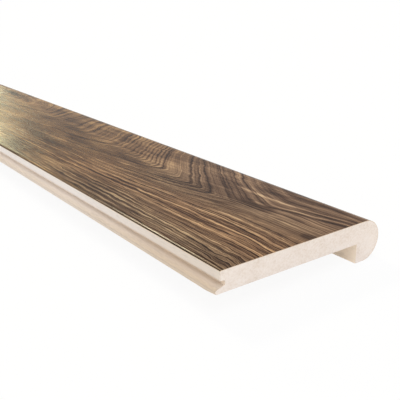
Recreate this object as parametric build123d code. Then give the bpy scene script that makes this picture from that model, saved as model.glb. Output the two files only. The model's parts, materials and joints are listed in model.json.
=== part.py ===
from build123d import *
import math
import os

# Flush stair nosing, in millimetres. It lies level: X runs along the stock, +Y points at the round nose,
# +Z is up, and the origin is under the middle of the piece, level with the foot of the hook.

# Stock size
LENGTH = 2388.0
WIDTH = 114.3
BOARD_THICKNESS = 12.0

# Hook behind the nose, which drops over the front edge of the step
HOOK_DROP = 11.4
FOOT_WIDTH = 6.0

# Printed laminate bonded over the back bevel, the top and the nose
LAMINATE_THICKNESS = 0.3
BEVEL = 0.3

# Groove in the back edge, which takes the tongue of the last floor plank
UPPER_LIP_HEIGHT = 5.1
GROOVE_DEPTH = 2.9
GROOVE_ROOF_FALL = 0.4
GROOVE_END_HEIGHT = 2.4
LOWER_LIP_REACH = 2.7
LOWER_LIP_TIP = 2.5

# Radii that the milling cutters leave
UPPER_LIP_RADIUS = 0.3
GROOVE_RADIUS = 0.5
LIP_TIP_RADIUS = 0.5
LIP_HEEL_RADIUS = 0.4

# Levels and stations of the section
z_top = BOARD_THICKNESS + HOOK_DROP
z_underside = HOOK_DROP
z_upper_lip = z_top - UPPER_LIP_HEIGHT
z_groove_roof = z_upper_lip - GROOVE_ROOF_FALL
z_groove_floor = z_groove_roof - GROOVE_END_HEIGHT
z_lip_tip = z_underside + LOWER_LIP_TIP

nose_radius = z_top / 2
y_nose = WIDTH / 2 - nose_radius
y_hook = y_nose - FOOT_WIDTH
y_lower_lip = -WIDTH / 2
y_upper_lip = y_lower_lip + LOWER_LIP_REACH
y_groove_end = y_upper_lip + GROOVE_DEPTH


def bevel_foot(depth):
    """Point on the upper lip's face where the bevel ends, at a depth below the printed surface."""
    return (y_upper_lip, z_top - BEVEL - depth * math.sqrt(2))


def nose_foot(depth):
    """Point at the foot of the hook where the round nose ends, at a depth below the printed surface."""
    return (y_nose, depth)


def wrap_line(depth):
    """Line over the bevel, along the top and round the nose, at a depth below the printed surface."""
    shoulder = (y_upper_lip + BEVEL + depth * (math.sqrt(2) - 1), z_top - depth)
    nose_top = (y_nose, z_top - depth)
    bevel_and_top = Polyline(bevel_foot(depth), shoulder, nose_top)
    nose = CenterArc((y_nose, nose_radius), nose_radius - depth, 90, -180)
    return bevel_and_top + nose


def run_out(section):
    """The section run out to the stock length, half of it to each side of the origin."""
    return extrude(Plane.YZ * section, LENGTH / 2, both=True)


def fibreboard_core():
    """Milled board: laminated faces, flat foot, hook, underside, lower lip, groove and upper lip."""
    milled_side = FilletPolyline(
        nose_foot(LAMINATE_THICKNESS),
        nose_foot(0),
        (y_hook, 0),
        (y_hook, z_underside),
        (y_lower_lip, z_underside),
        (y_lower_lip, z_lip_tip),
        (y_groove_end, z_groove_floor),
        (y_groove_end, z_groove_roof),
        (y_upper_lip, z_upper_lip),
        bevel_foot(LAMINATE_THICKNESS),
        radius=[0, 0, 0, LIP_HEEL_RADIUS, LIP_TIP_RADIUS, GROOVE_RADIUS, GROOVE_RADIUS, UPPER_LIP_RADIUS],
    )
    return run_out(make_face((wrap_line(LAMINATE_THICKNESS) + milled_side).edges()))


def printed_laminate():
    """Thin sheet between the printed surface and the board, trimmed at the upper lip and at the foot."""
    back_trim = Line(bevel_foot(0), bevel_foot(LAMINATE_THICKNESS))
    foot_trim = Line(nose_foot(0), nose_foot(LAMINATE_THICKNESS))
    outline = wrap_line(0) + foot_trim + wrap_line(LAMINATE_THICKNESS) + back_trim
    return run_out(make_face(outline.edges()))


os.makedirs("parts", exist_ok=True)
for node in (fibreboard_core, printed_laminate):
    solid = node()
    solid.label = node.__name__
    export_step(solid, f"parts/{node.__name__}.step")
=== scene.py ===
import bmesh
import bpy
import json
import math
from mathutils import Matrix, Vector


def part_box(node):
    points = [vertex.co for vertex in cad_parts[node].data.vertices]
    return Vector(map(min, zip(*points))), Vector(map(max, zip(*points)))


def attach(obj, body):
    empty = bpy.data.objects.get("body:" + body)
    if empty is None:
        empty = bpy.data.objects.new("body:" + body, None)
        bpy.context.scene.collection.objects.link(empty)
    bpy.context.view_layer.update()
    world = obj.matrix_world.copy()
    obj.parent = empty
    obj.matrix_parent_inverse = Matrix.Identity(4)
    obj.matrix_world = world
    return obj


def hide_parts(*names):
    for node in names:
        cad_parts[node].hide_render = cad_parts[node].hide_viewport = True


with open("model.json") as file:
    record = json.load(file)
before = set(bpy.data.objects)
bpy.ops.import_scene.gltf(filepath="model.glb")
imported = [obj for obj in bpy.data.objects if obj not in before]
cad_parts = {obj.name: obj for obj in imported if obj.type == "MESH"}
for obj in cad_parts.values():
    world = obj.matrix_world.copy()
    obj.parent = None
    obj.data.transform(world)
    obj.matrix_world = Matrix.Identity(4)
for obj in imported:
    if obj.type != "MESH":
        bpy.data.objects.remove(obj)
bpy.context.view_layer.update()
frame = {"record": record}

# Fibreboard core
# One strip of pressed wood fibre that carries the print. Profile cutters mill its section along the whole
# length: the round nose, the hook below it, the flat underside and the grooved back edge, which stay bare.
MM = 0.001
core_low, core_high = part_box("fibreboard_core")
sheet_low, sheet_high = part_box("printed_laminate")
mounts = {mount["name"]: Vector(mount["pos_m"]) for mount in frame["record"]["mounts"]}

near_end = core_high.x
far_end = core_low.x
length = near_end - far_end
bond_top = core_high.z
top = sheet_high.z
sheet_thickness = top - bond_top
underside = mounts["underside"].z
hook_face = mounts["hook_face"].y
lower_lip = core_low.y
upper_lip = mounts["tongue_groove"].y
nose_radius = top / 2
nose_start = -lower_lip - nose_radius
nose_steps = 48

upper_lip_height = 5.1 * MM
groove_depth = 2.9 * MM
groove_end_height = 2.4 * MM
lower_lip_tip = 2.5 * MM
upper_lip_cut = 0.3 * MM
groove_cut = 0.45 * MM
lip_tip_cut = 0.5 * MM
lip_heel_cut = 0.4 * MM
upper_lip_bottom = top - upper_lip_height
lower_lip_top = underside + lower_lip_tip
groove_roof = mounts["tongue_groove"].z + groove_end_height / 2
groove_floor = groove_roof - groove_end_height
groove_end = upper_lip + groove_depth
back_bevel = 0.3 * MM
bond_bevel = back_bevel + sheet_thickness * (math.sqrt(2) - 1)

HAIR = 0.001 * MM


def near(a, b):
    """Whether two places along an axis are the same, to a hair."""
    return abs(a - b) < HAIR


def start_flat(name, middle, width, depth, turn=(0, 0, 0)):
    """A flat piece of that width and depth, turned and put in its place, open for shaping."""
    bpy.ops.object.select_all(action="DESELECT")
    bpy.ops.mesh.primitive_plane_add(size=1, location=middle, rotation=turn)
    piece = bpy.context.object
    piece.name = name
    piece.scale = (width, depth, 1)
    bpy.ops.object.transform_apply(location=True, rotation=True, scale=True)
    bpy.ops.object.mode_set(mode="EDIT")
    return piece


def pick(kind, test):
    """Selects the points, edges or faces that lie wholly where the test says, and nothing else."""
    bpy.ops.mesh.select_mode(type=kind)
    bpy.ops.mesh.select_all(action="DESELECT")
    shape = bmesh.from_edit_mesh(bpy.context.edit_object.data)
    for part in {"VERT": shape.verts, "EDGE": shape.edges, "FACE": shape.faces}[kind]:
        corners = [part] if kind == "VERT" else part.verts
        if all(test(corner.co) for corner in corners):
            part.select_set(True)
    shape.select_flush_mode()
    bmesh.update_edit_mesh(bpy.context.edit_object.data)


def draw_out(test, move):
    """Extrudes the edges where the test says."""
    pick("EDGE", test)
    bpy.ops.mesh.extrude_region_move(TRANSFORM_OT_translate={"value": move})


def shift(test, move):
    """Moves the points where the test says."""
    pick("VERT", test)
    bpy.ops.transform.translate(value=move)


def round_off(y, z, cut, steps=5):
    """Rounds the corner of a section at that place, by a cut along both of its sides."""
    pick("VERT", lambda p: near(p.y, y) and near(p.z, z))
    bpy.ops.mesh.bevel(affect="VERTICES", offset=cut, segments=steps)


def close_mesh():
    """Joins the points that meet and turns all faces outwards."""
    bpy.ops.mesh.select_all(action="SELECT")
    bpy.ops.mesh.remove_doubles(threshold=HAIR)
    bpy.ops.mesh.normals_make_consistent(inside=False)


# The section is drawn flat at the far end: the web behind the groove first, then what is above and below it
core = start_flat(
    "milled_core",
    middle=(far_end, (groove_end + hook_face) / 2, (groove_floor + groove_roof) / 2),
    width=groove_end_height,
    depth=hook_face - groove_end,
    turn=(0, math.pi / 2, 0),
)
draw_out(lambda p: near(p.z, groove_roof), (0, 0, bond_top - groove_roof))
draw_out(lambda p: near(p.z, groove_floor), (0, 0, underside - groove_floor))
draw_out(lambda p: near(p.y, hook_face), (0, nose_start - hook_face, 0))
draw_out(lambda p: near(p.z, underside) and p.y > hook_face - HAIR, (0, 0, sheet_thickness - underside))
draw_out(lambda p: near(p.z, sheet_thickness), (0, 0, -sheet_thickness))
pick("VERT", lambda p: near(p.y, nose_start) and near(p.z, bond_top))
nose_middle = (far_end, nose_start, nose_radius)
bpy.ops.mesh.spin(steps=nose_steps, angle=math.pi, center=nose_middle, axis=(1, 0, 0))
close_mesh()
pick("EDGE", lambda p: p.y > nose_start - HAIR and p.z > sheet_thickness - HAIR)
bpy.ops.mesh.edge_face_add()

# The groove's two lips, the upper one cut back so that the plank's tongue can be angled in
draw_out(lambda p: near(p.y, groove_end) and p.z > groove_roof - HAIR, (0, -groove_depth, 0))
shift(lambda p: near(p.y, upper_lip) and near(p.z, groove_roof), (0, 0, upper_lip_bottom - groove_roof))
draw_out(lambda p: near(p.y, groove_end) and p.z < groove_floor + HAIR, (0, lower_lip - groove_end, 0))
shift(lambda p: near(p.y, lower_lip) and near(p.z, groove_floor), (0, 0, lower_lip_top - groove_floor))
bpy.ops.mesh.select_all(action="SELECT")
bpy.ops.mesh.dissolve_limited(angle_limit=math.radians(1))
round_off(upper_lip, bond_top, bond_bevel, steps=1)
round_off(upper_lip, upper_lip_bottom, upper_lip_cut)
round_off(groove_end, groove_roof, groove_cut)
round_off(groove_end, groove_floor, groove_cut)
round_off(lower_lip, lower_lip_top, lip_tip_cut)
round_off(lower_lip, underside, lip_heel_cut)
bpy.ops.mesh.select_all(action="SELECT")
bpy.ops.mesh.extrude_region_move(TRANSFORM_OT_translate={"value": (length, 0, 0)})
close_mesh()

# A cut across the strip keeps the wear of the near corner, shaped below, to a short length
worn_length = 7 * MM
smooth_angle = math.radians(25)
bpy.ops.mesh.select_all(action="SELECT")
bpy.ops.mesh.bisect(plane_co=(near_end - worn_length, 0, 0), plane_no=(1, 0, 0))
bpy.ops.object.mode_set(mode="OBJECT")
bpy.ops.object.shade_smooth_by_angle(angle=smooth_angle)

# The map for baked pictures has the two sawn ends at the top, and the long faces side by side below them
core_map = core.data.uv_layers.new(name="OFBake")
points = core.data.vertices
ends = [face for face in core.data.polygons if abs(face.normal.x) > 0.5]
outline = [points[index].co.yz for index in max(ends, key=lambda face: face.center.x).vertices]
distances = [0.0]
for here, there in zip(outline, outline[1:] + outline[:1]):
    distances.append(distances[-1] + (there - here).length)


def place_on_outline(point):
    """Which corner of the section a point of the core belongs to."""
    return min(range(len(outline)), key=lambda index: (outline[index] - point.co.yz).length)


map_margin = 0.01
map_width = 0.98
faces_height = 0.56
near_end_row = 0.58
far_end_row = 0.79
end_scale = map_width / (core_high.y - core_low.y)
for face in core.data.polygons:
    is_end = abs(face.normal.x) > 0.5
    corners = [place_on_outline(points[index]) for index in face.vertices]
    wraps = max(corners) - min(corners) > len(outline) / 2
    for loop_index, corner in zip(face.loop_indices, corners):
        p = points[core.data.loops[loop_index].vertex_index].co
        if is_end:
            row = near_end_row if face.center.x > 0 else far_end_row
            spot = ((p.y - core_low.y) * end_scale, row + p.z * end_scale)
        else:
            walked = distances[-1] if wraps and corner == 0 else distances[corner]
            spot = (map_width * (near_end - p.x) / length, map_margin + faces_height * walked / distances[-1])
        core_map.data[loop_index].uv = (map_margin + spot[0], spot[1])

# The near corner of the lower lip is worn back and up
worn_round = 0.6 * MM
worn_back = 0.25 * MM
worn_up = 0.5 * MM
bpy.ops.object.mode_set(mode="EDIT")
shift(
    lambda p: near(p.x, near_end) and p.y < lower_lip + worn_round and p.z < underside + worn_round,
    (0, worn_back, worn_up),
)
bpy.ops.object.mode_set(mode="OBJECT")


class Value:
    """A number that a finish works out at each point of a surface. Plain sums with it add nodes."""

    def __init__(self, finish, socket):
        self.finish = finish
        self.socket = socket

    def sum(self, operation, *values):
        return self.finish.node("Math", dict(enumerate(values)), operation=operation)

    def __add__(self, other):
        return self.sum("ADD", self, other)

    def __sub__(self, other):
        return self.sum("SUBTRACT", self, other)

    def __rsub__(self, other):
        return self.sum("SUBTRACT", other, self)

    def __mul__(self, other):
        return self.sum("MULTIPLY", self, other)

    def __truediv__(self, other):
        return self.sum("DIVIDE", self, other)

    def at_least(self, other):
        return self.sum("MAXIMUM", self, other)

    def at_most(self, other):
        return self.sum("MINIMUM", self, other)

    def size(self):
        return self.sum("ABSOLUTE", self)

    def root(self):
        return self.sum("SQRT", self)

    def fold(self, width):
        """The number sent back each time that it reaches the width or nought."""
        return self.sum("PINGPONG", self, width)

    def rise(self, low, high):
        """A soft step from 0 at the low value to 1 at the high one."""
        inputs = {"Value": self, "From Min": low, "From Max": high}
        return self.finish.node("MapRange", inputs, interpolation_type="SMOOTHSTEP")

    def toward(self, other, share):
        """The number moved towards another one by that share of the way."""
        return self.finish.node("Mix", {0: share, 2: self, 3: other}, data_type="FLOAT")


class Finish:
    """A material, with the nodes that work out its pattern."""

    def __init__(self, name):
        self.material = bpy.data.materials.new(name)
        self.material.use_nodes = True
        self.tree = self.material.node_tree
        self.shader = self.tree.nodes["Principled BSDF"]

    def set(self, **values):
        """Feeds sockets of the shader, named with _ for a space."""
        for name, value in values.items():
            self.feed(self.shader.inputs[name.replace("_", " ")], value)

    def feed(self, socket, value):
        if isinstance(value, Value):
            self.tree.links.new(value.socket, socket)
        else:
            socket.default_value = value

    def node(self, kind, inputs, output=0, **settings):
        made = self.tree.nodes.new("ShaderNode" + kind)
        for name, value in settings.items():
            setattr(made, name, value)
        for place, value in inputs.items():
            self.feed(made.inputs[place], value)
        return Value(self, made.outputs[output])

    def axes(self, place, unit):
        """The three coordinates of a place, counted in that unit."""
        split = self.node("SeparateXYZ", {"Vector": place}).socket.node
        return [Value(self, output) / unit for output in split.outputs]

    def cloud(self, *place, detail=2.0, roughness=0.5):
        """Soft random values about nought, most of them within 0.25, one patch for each unit of the place."""
        where = self.node("CombineXYZ", dict(enumerate(place)))
        inputs = {"Vector": where, "Scale": 1.0, "Detail": detail, "Roughness": roughness}
        return self.node("TexNoise", inputs, noise_dimensions=f"{len(place)}D") - 0.5

    def ramp(self, value, stops):
        """Colours, or greys given by a number, that follow a value between listed stops."""
        made = self.node("ValToRGB", {0: value})
        elements = made.socket.node.color_ramp.elements
        while len(elements) < len(stops):
            elements.new(1.0)
        for element, (position, colour) in zip(elements, stops):
            element.position = position
            element.color = colour if isinstance(colour, tuple) else (colour, colour, colour, 1.0)
        return made

    def tint(self, share, low, high, way="MIX"):
        return self.node("Mix", {0: share, 6: low, 7: high}, output=2, data_type="RGBA", blend_type=way)

    def relief(self, height, depth):
        """Bumps of that depth where the height goes from 0 to 1."""
        self.set(Normal=self.node("Bump", {"Height": height, "Distance": depth}))


def paint(red, green, blue):
    """A colour as it looks on a screen, from 0 to 255, as the light that it reflects."""
    def light(value):
        value /= 255
        return value / 12.92 if value <= 0.04045 else ((value + 0.055) / 1.055) ** 2.4
    return (light(red), light(green), light(blue), 1.0)


# Sawn ends show a fine even fleck. On the milled faces the cutters leave it drawn out along the stock.
raw_board = Finish("raw_fibreboard")
board_place = raw_board.node("TexCoord", {}, output=3)
board_x, board_y, board_z = raw_board.axes(board_place, MM)
facing = raw_board.axes(raw_board.node("NewGeometry", {}, output=1), 1.0)
sawn = facing[0].size().rise(0.5, 0.9)
sawn_fleck = raw_board.cloud(board_y * 0.9, board_z * 1.1, board_x * 0.4, detail=3.0)
sawn_cloud = raw_board.cloud(board_y * 0.11, board_z * 0.16, board_x * 0.1)
milled_fleck = raw_board.cloud(board_x * 0.22, board_y * 1.6, board_z * 1.6, detail=3.0)
milled_cloud = raw_board.cloud(board_x * 0.02, board_y * 0.3, board_z * 0.5)
fleck = milled_fleck.toward(sawn_fleck, sawn)
board_shade = milled_cloud.toward(sawn_cloud, sawn) * 0.8 + fleck * 1.3 + 0.5
sawn_colour = raw_board.ramp(
    board_shade,
    [(0.1, paint(227, 212, 199)), (0.5, paint(238, 226, 217)), (0.9, paint(244, 234, 227))],
)

# The back edge's colour goes with the level, from the underside over lower lip and groove to the upper lip.
# Painted light: the hook's inner face and the groove are painted paler to stand in for more light in their
# shade, and the lower lip's faces darker as painted shade.
board_level = (board_z - underside / MM) / ((top - underside) / MM)
mottle = raw_board.ramp(board_shade, [(0.1, 0.84), (0.5, 0.98), (0.9, 1.0)])
milled_painted_light_colour = raw_board.ramp(
    board_level,
    [
        (0.0, paint(253, 237, 218)),
        (0.03, paint(224, 211, 199)),
        (0.12, paint(224, 211, 199)),
        (0.17, paint(211, 197, 183)),
        (0.22, paint(214, 200, 186)),
        (0.28, paint(235, 222, 211)),
        (0.42, paint(245, 233, 220)),
        (0.58, paint(236, 229, 225)),
    ],
)
milled_painted_light_colour = raw_board.tint(1.0, milled_painted_light_colour, mottle, way="MULTIPLY")

# The back edge is darker by the near end
from_near_end = near_end / MM - board_x
near_back_darkening = (1 - from_near_end.rise(20, 160)) * (0 - board_y).rise(45, 50)
near_back_colour = raw_board.tint(1.0, milled_painted_light_colour, (0.90, 0.855, 0.79, 1.0), way="MULTIPLY")
milled_painted_light_colour = raw_board.tint(near_back_darkening, milled_painted_light_colour, near_back_colour)
fibre_depth = 0.12 * MM
raw_board.set(
    Base_Color=raw_board.tint(sawn, milled_painted_light_colour, sawn_colour),
    Roughness=0.9,
    Specular_IOR_Level=0.15,
)
raw_board.relief(fleck, fibre_depth)
core.data.materials.append(raw_board.material)

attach(core, "root")
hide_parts("fibreboard_core")

# Printed laminate
# A sheet 0.3 mm thick: paper printed with an oak grain under a clear satin wear layer. In one piece it is
# bonded over the bevel of the upper lip, the top and the round nose, and is trimmed at the lip and the foot.
shoulder = upper_lip + back_bevel
sheet = start_flat(
    "printed_sheet",
    middle=((near_end + far_end) / 2, (shoulder + nose_start) / 2, top),
    width=length,
    depth=nose_start - shoulder,
)
draw_out(lambda p: near(p.y, shoulder), (0, -back_bevel, -back_bevel))
pick("EDGE", lambda p: near(p.y, nose_start))
bpy.ops.mesh.spin(steps=nose_steps, angle=math.pi, center=(0, nose_start, nose_radius), axis=(1, 0, 0))
strips = 4
for cut in range(1, strips):
    bpy.ops.mesh.select_all(action="SELECT")
    bpy.ops.mesh.bisect(plane_co=(near_end - length * cut / strips, 0, 0), plane_no=(1, 0, 0))
close_mesh()
bpy.ops.object.mode_set(mode="OBJECT")
face_points = len(sheet.data.vertices)
thickness = sheet.modifiers.new("thickness", "SOLIDIFY")
thickness.thickness = sheet_thickness
thickness.offset = -1
thickness.use_even_offset = True
thickness.material_offset = 1
thickness.material_offset_rim = 1

printed = Finish("printed_oak")
cut_edge = Finish("laminate_cut_edge")
sheet.data.materials.append(printed.material)
sheet.data.materials.append(cut_edge.material)
bpy.ops.object.modifier_apply(modifier=thickness.name)
bpy.ops.object.mode_set(mode="EDIT")
trim = sheet_thickness / math.sqrt(2)
shift(lambda p: p.y < shoulder and p.z < top - back_bevel - HAIR, (0, -trim, -trim))
bpy.ops.object.mode_set(mode="OBJECT")
bpy.ops.object.shade_smooth_by_angle(angle=smooth_angle)


def across_sheet(p):
    """How far a point of the sheet is from the top's back edge once the sheet is laid flat."""
    if p.y > nose_start or p.z < nose_radius:
        return nose_start - shoulder + nose_radius * math.atan2(max(p.y - nose_start, 0), p.z - nose_radius)
    return p.y - shoulder if p.y > shoulder else (p.y - shoulder) * math.sqrt(2)


flat = sheet.data.uv_layers.new(name="unrolled")
for loop in sheet.data.loops:
    p = sheet.data.vertices[loop.vertex_index].co
    flat.data[loop.index].uv = (near_end - p.x, across_sheet(p))
flat.active_render = True

# The map for baked pictures has the printed face in four strips, and narrow rows for what is hidden or cut
sheet_map = sheet.data.uv_layers.new(name="OFBake")
strip_length = length / strips
bevel_width = back_bevel * math.sqrt(2)
flat_width = across_sheet(Vector((0, nose_start, 0))) + bevel_width
sheet_margin = 0.005
sheet_share = 0.99
strip_height = 0.23
near_cut_row = 0.93
far_cut_row = 0.942
back_cut_row = 0.954
foot_cut_row = 0.964
bonded_row = 0.975
for face in sheet.data.polygons:
    strip = int((near_end - face.center.x) / strip_length)
    at_end = abs(face.normal.x) > 0.5
    at_back = face.center.y < shoulder
    for loop_index in face.loop_indices:
        index = sheet.data.loops[loop_index].vertex_index
        p = sheet.data.vertices[index].co
        share_along = (near_end - p.x) / length
        share_across = (across_sheet(p) + bevel_width) / flat_width
        inner = index >= face_points
        if face.material_index == 0:
            spot = (share_along * strips - strip, (strip + 0.01 + 0.97 * share_across) * strip_height)
        elif at_end:
            spot = (share_across, (near_cut_row if face.center.x > 0 else far_cut_row) + 0.006 * inner)
        elif all(corner >= face_points for corner in face.vertices):
            spot = (share_along, bonded_row + 0.01 * share_across)
        else:
            spot = (share_along, (back_cut_row if at_back else foot_cut_row) + 0.005 * inner)
        sheet_map.data[loop_index].uv = [sheet_margin + sheet_share * share for share in spot]

# The printed figure is a plain-sawn oak board: ring lines that run near the back edge, and arches above them
# that open towards the far end. Places are in millimetres, along from the near end and across from the back.
along, across, _ = printed.axes(printed.node("UVMap", {}, uv_map="unrolled"), MM)


def oval(middle_along, middle_across, half_length, half_width):
    """A soft oval on the sheet, 1 in its middle and 0 outside."""
    out_along = (along - middle_along) / half_length
    out_across = (across - middle_across) / half_width
    return 1 - (out_along * out_along + out_across * out_across).rise(0, 1)


wander = printed.cloud(along / 70, across / 30, detail=1.0)
ripple = printed.cloud(along / 13, across / 5)
curl = oval(8, 11, 24, 11)
bend = printed.cloud(along / 36, across / 14, 2.0)
ripple_reach = curl * 3 + 2 - across.rise(50, 64) * 1.4
swayed = across + wander * 5 + bend * across.rise(38, 60) * 5 + ripple * ripple_reach

# The arches come and go along the stock, as the walk through the rings goes forward and back
plank_length = length / MM
walk_stations = [
    (0, 0), (300, 300), (480, 430), (620, 400), (800, 250), (950, 110), (1080, 70), (1220, 130), (1400, 300),
    (1560, 420), (1700, 430), (1850, 330), (2000, 200), (2150, 150), (2388, 260),
]
walk_most = 430
walk_curve = printed.node("FloatCurve", {"Value": along / plank_length})
walk_points = walk_curve.socket.node.mapping.curves[0].points
while len(walk_points) < len(walk_stations):
    walk_points.new(1.0, 1.0)
for point, (station, walked) in zip(walk_points, walk_stations):
    point.location = (station / plank_length, walked / walk_most)
walk_curve.socket.node.mapping.update()
walk = walk_curve * walk_most

# At the waist the lines come closest to the arches' axis. Past it the arches open, before it two wings do.
waist = 54
first_axis = 59
jitter = printed.cloud(along / 20, across / 8, 4.0)
past_waist = walk + jitter * walk.rise(60, 110) * 6 - waist
open_side = past_waist.rise(-10, 10)
spread = (past_waist * past_waist + 30).root() - 5.5
drift = printed.cloud(along / 400, 0.0) * along.rise(300, 600) * 60
arch_axis = past_waist.at_least(0) * 0.065 + drift + first_axis
off_axis = swayed - arch_axis
soft_off = (off_axis * off_axis + 24).root()
above = (soft_off + off_axis) / 2
below = (soft_off - off_axis) / 2
over = off_axis.rise(-4, 4)
upper_spread = spread * (open_side * 0.25 + 0.75) * (1 - above.rise(24, 40) * (1 - open_side) * 0.8)
lower_spread = spread * (open_side * 0.92 + 0.08)
lean = 1 - past_waist.rise(20, 200) * 0.74
upper_figure = upper_spread - above * 2.7 * lean
lower_figure = lower_spread - below * 1.8 - below * below / 9
figure = lower_figure.toward(upper_figure, over)

# Ring lines in the order that a saw cut meets them, each a place in millimetres and a tone from dark to light
outer = (0 - figure).at_least(0)
side_span = 57
upper_rings = (outer * 30 + 529).root() - 23
lower_rings = (outer * 9 + 65.6).root() - 8.1
side_rings = lower_rings.toward(upper_rings, over).fold(side_span)
side_lines = [
    (0, 0.12), (3, 0.5), (5.2, 0.48), (6.6, 0.1), (8.0, 0.5), (10.5, 0.1), (13.5, 0.8), (17, 0.08),
    (20, 0.85), (23.5, 0.12), (26, 0.8), (28.5, 0.12), (31, 0.35), (33.5, 0.85), (36, 0.1), (38.3, 0.6),
    (40.5, 0.12), (42.5, 0.6), (44.5, 0.1), (46.5, 0.65), (48.5, 0.1), (50.3, 0.55), (52.1, 0.08),
    (54.5, 0.5), (57, 0.3),
]
arch_span = 133.5
arch_rings = figure.at_least(0).fold(arch_span)
arch_lines = [
    (0, 0.3), (4, 0.45), (8.5, 0.1), (13, 0.5), (27, 0.5), (30, 0.35), (33.5, 0.02), (38, 0.6), (42, 0.5),
    (45.5, 0.06), (50, 0.6), (54, 0.5), (57.5, 0.06), (62, 0.6), (70, 0.4), (74, 0.6), (80, 0.4), (84, 0.62),
    (91, 0.55), (97.5, 0.01), (100.5, 0.5), (103.5, 0.15), (106.5, 0.6), (109.5, 0.08), (112.5, 0.6),
    (115.5, 0.2), (118.5, 0.55), (121.5, 0.08), (124.5, 0.6), (127.5, 0.2), (130.5, 0.6), (133.5, 0.08),
]
side_tone = printed.ramp(side_rings / side_span, [(place / side_span, tone) for place, tone in side_lines])
arch_tone = printed.ramp(arch_rings / arch_span, [(place / arch_span, tone) for place, tone in arch_lines])
line_tone = side_tone.toward(arch_tone, figure.rise(-0.5, 0.5)).root() * 1.22 - 0.29

# The lines fade where the print is calm: on the plain field before the first arch, under and outside arches
plain = (1 - walk.rise(66, 92)) * (1 - (off_axis + 2).size().rise(5, 9))
plain = plain.at_least((1 - walk.rise(46, 60)) * figure.rise(-33, -28) * over)
plain = plain.at_least(oval(57, 66, 18, 8))
outside = (-42 - figure).rise(0, 15) * open_side * over
under = (1 - over) * figure.rise(-2, 8)
calm = plain.at_least(outside * 0.6).at_least(under * 0.1).at_least(over * 0.15)
rings = arch_rings / 5.5 - side_rings / 2.7
boldness = (printed.cloud(along / 32, rings * 0.6) * 2.5 + 0.75).at_least(0.15)
streaks = printed.cloud(along * 0.011, rings * 3.6, detail=4.0, roughness=0.6)
veins = 1 - streaks.size().rise(0.0, 0.04)
broken = (printed.cloud(along / 50, rings * 1.3) * 3 + 0.5).at_least(0).at_most(1)
thin_lines = 1 - (rings + printed.cloud(along * 0.012, rings * 0.9) * 0.9).fold(0.5).rise(0.02, 0.16)
fibres = printed.cloud(along * 0.014, (swayed + along * 0.08) * 0.75, detail=4.0, roughness=0.65)
patches = printed.cloud(along / 60 + 7, across / 16)
pores = printed.cloud(along * 0.12, across * 2.2).rise(0.06, 0.2)
strength = 1.2 - over * 0.2 + under * 0.3 - (1 - over) * along.rise(90, 170) * 0.2
fine_lines = thin_lines * broken * (0.8 - over * 0.4)
bold_lines = (line_tone - 0.47) * boldness * (over * 0.2 + 0.84)
tone = (bold_lines - fine_lines) * strength * (1 - calm) + 0.545
fineness = (1.2 - over * 0.8) * (1 - plain)
patchiness = along.rise(90, 200) * 0.5 + 0.4
tone = tone + (streaks * 1.5 - veins * 0.2) * fineness + fibres * (calm + 0.6)
tone = tone + patches * patchiness - pores * 0.25

# Marks of this print, by the first arch, at the sawn end and further along, with their change of tone, and
# one pale patch of painted sheen
before = 1 - along.rise(42, waist)
dark_wing = (figure + 36) / 4
pale_wing = (figure + 43) / 4
marks = [
    ((1 - (dark_wing * dark_wing).rise(0, 1)) * over * before, -0.2),
    ((1 - (pale_wing * pale_wing).rise(0, 1)) * over * before, 0.12),
    (oval(54, 68.5, 20, 7), -0.32),
    (oval(54, 72.5, 9, 1.4), 0.35),
    (oval(51, 63, 14, 1.2), 0.15),
    (oval(62, 82.5, 36, 1.9), 0.42),
    (oval(55, 90.5, 34, 3.5), -0.2),
    (oval(3, 59, 7, 4), -0.25),
    (curl, -0.1),
    # Painted sheen: this pale patch on the top stands in for a sheen of light
    (oval(182, 28, 26, 7), 0.1),
    (oval(208, 21, 18, 7), -0.14),
    (oval(228, 26, 42, 24), -0.17),
    (oval(270, 46, 55, 22), -0.16),
    (oval(318, 66, 50, 30), -0.2),
    (oval(20, 80, 45, 9), -0.06),
    (oval(165, 52, 55, 14), -0.12),
    (oval(30, 8, 14, 6), -0.13),
    (oval(86, 8, 26, 6), 0.1),
    (oval(205, 68, 75, 12), -0.1),
    (oval(58, 56, 26, 9), -0.07),
    (oval(102, 32, 25, 8), -0.06),
    (oval(163, 20, 24, 8), 0.06),
    (oval(205, 86, 80, 24), -0.06),
    (oval(305, 30, 40, 16), -0.08),
    (across.rise(48, 56) * (1 - along.rise(90, 170)), -0.11),
]
for mark, depth in marks:
    tone = tone + mark * depth

grain_colour = printed.ramp(
    tone,
    [
        (0.0, paint(52, 36, 27)),
        (0.25, paint(86, 63, 47)),
        (0.5, paint(124, 97, 75)),
        (0.75, paint(162, 131, 100)),
        (1.0, paint(204, 172, 132)),
    ],
)

# Its hue is olive by the back edge, warm along the middle, cool by the nose and browner further along
middle_band = across.rise(6, 30) * (1 - across.rise(36, 72))
warmth = middle_band * (1 - along.rise(60, 110) * 0.3) + along.rise(100, 200) * 0.5
warmth = warmth + printed.cloud(along / 150, across / 40) * 0.8
olive_colour = printed.tint(1.0, grain_colour, (0.93, 1.0, 1.06, 1.0), way="MULTIPLY")
warm_colour = printed.tint(1.0, grain_colour, (1.05, 0.98, 0.94, 1.0), way="MULTIPLY")
cool_colour = printed.tint(1.0, grain_colour, (0.97, 0.98, 1.06, 1.0), way="MULTIPLY")
grain_colour = printed.tint(across.rise(44, 80), olive_colour, cool_colour)
grain_colour = printed.tint(warmth, grain_colour, warm_colour)
brown_colour = printed.tint(1.0, grain_colour, (1.03, 1.0, 0.78, 1.0), way="MULTIPLY")
brown_share = along.rise(70, 300) - along.rise(500, 900) * 0.6
grain_colour = printed.tint(brown_share, grain_colour, brown_colour)
bevel = (0 - across).rise(0.0, 0.05)
grain_colour = printed.tint(bevel, grain_colour, paint(46, 33, 26))

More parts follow.
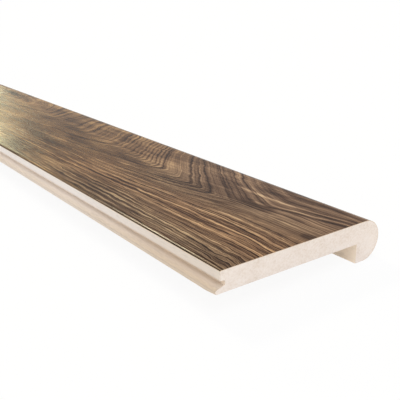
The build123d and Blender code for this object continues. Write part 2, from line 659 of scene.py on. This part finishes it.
# The press rolls the wear layer down to the back edge, where it is smoother
roll_width = 3
rolled = (roll_width - across).at_least(0)
smoother = 1 - across.rise(1.5, roll_width)
printed.set(
    Base_Color=grain_colour,
    Roughness=pores * 0.08 - smoother * 0.05 + 0.2,
    Specular_IOR_Level=0.045,
)
grain_relief = tone * across.rise(1, 4) * 0.03
printed.relief(grain_relief - rolled * rolled / 10, MM)

edge_along, edge_across, edge_depth = cut_edge.axes(cut_edge.node("TexCoord", {}, output=3), MM)
edge_fleck = cut_edge.cloud(edge_along * 0.5, edge_across * 2, edge_depth * 2)
cut_edge.set(
    Base_Color=cut_edge.ramp(edge_fleck + 0.5, [(0.2, paint(196, 172, 144)), (0.8, paint(232, 216, 194))]),
    Roughness=0.7,
)

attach(sheet, "root")
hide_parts("printed_laminate")

# Studio floor
# A wide pale sheet that the nosing lies on. It keeps the soft shadow under the board.
floor_width = 60.0
bpy.ops.object.select_all(action="DESELECT")
bpy.ops.mesh.primitive_plane_add(size=floor_width, location=(0, 0, 0))
floor = bpy.context.object
floor.name = "studio_floor"
floor_finish = Finish("studio_floor")
floor_finish.set(Base_Color=(0.9, 0.9, 0.9, 1.0), Roughness=0.9, Specular_IOR_Level=0.0)
seen = floor_finish.node("LightPath", {})
ray = seen.socket.node.outputs
seen = seen.at_least(Value(floor_finish, ray["Is Glossy Ray"]))
seen = seen.at_least(Value(floor_finish, ray["Is Transmission Ray"]))
white = floor_finish.node("Emission", {"Color": (1, 1, 1, 1), "Strength": 1.0})
bare = Value(floor_finish, floor_finish.shader.outputs[0])
mixed = floor_finish.node("MixShader", {0: seen * 0.92, 1: bare, 2: white})
floor_finish.feed(floor_finish.tree.nodes["Material Output"].inputs["Surface"], mixed)
floor.data.materials.append(floor_finish.material)

# Studio light
# Even white light from all round, a large soft lamp above the near end and a low fill from the camera's side.
# A low warm window beyond the far end gives the sheen there, and a small lamp above it the back edge's glint.
world_strength = 0.55
world = bpy.data.worlds.new("studio")
world.use_nodes = True
world.node_tree.nodes["Background"].inputs["Color"].default_value = (1, 1, 1, 1)
world.node_tree.nodes["Background"].inputs["Strength"].default_value = world_strength
bpy.context.scene.world = world


def hang_lamp(name, travel, strength, spread, colour=(1, 1, 1)):
    """A lamp so far off that its light travels one way, as soft as the angle that it fills."""
    light = bpy.data.lights.new(name, "SUN")
    light.energy = strength
    light.angle = math.radians(spread)
    light.color = colour
    lamp = bpy.data.objects.new(name, light)
    lamp.rotation_euler = Vector(travel).to_track_quat("-Z", "Y").to_euler()
    bpy.context.collection.objects.link(lamp)


hang_lamp("key_lamp", travel=(-0.4, 0.2, -0.9), strength=1.1, spread=40)
hang_lamp("fill_lamp", travel=(-0.55, 0.83, -0.06), strength=0.8, spread=20)
hang_lamp("window", travel=(0.963, -0.16, -0.216), strength=0.7, spread=20, colour=(1, 0.97, 0.6))
hang_lamp("small_lamp", travel=(0.767, -0.088, -0.635), strength=1.1, spread=9, colour=(1, 0.92, 0.66))

# Camera
# It stands by the near end, behind the back edge, and looks down along the nosing.
view_azimuth = math.radians(53.14)
view_elevation = math.radians(19.83)
view_distance = 0.3679
aim_from_end = 79.9 * MM
aim_across = -5.8 * MM
aim = Vector((near_end - aim_from_end, aim_across, top))
back = Vector((
    math.sin(view_azimuth) * math.cos(view_elevation),
    -math.cos(view_azimuth) * math.cos(view_elevation),
    math.sin(view_elevation),
))
camera = bpy.data.objects.new("camera", bpy.data.cameras.new("camera"))
camera.data.lens = 56.6
camera.data.sensor_width = 36.0
camera.data.clip_start = 0.01
camera.location = aim + back * view_distance
camera.rotation_euler = (-back).to_track_quat("-Z", "Y").to_euler()
bpy.context.collection.objects.link(camera)
bpy.context.scene.camera = camera
bpy.context.scene.view_settings.view_transform = "Standard"
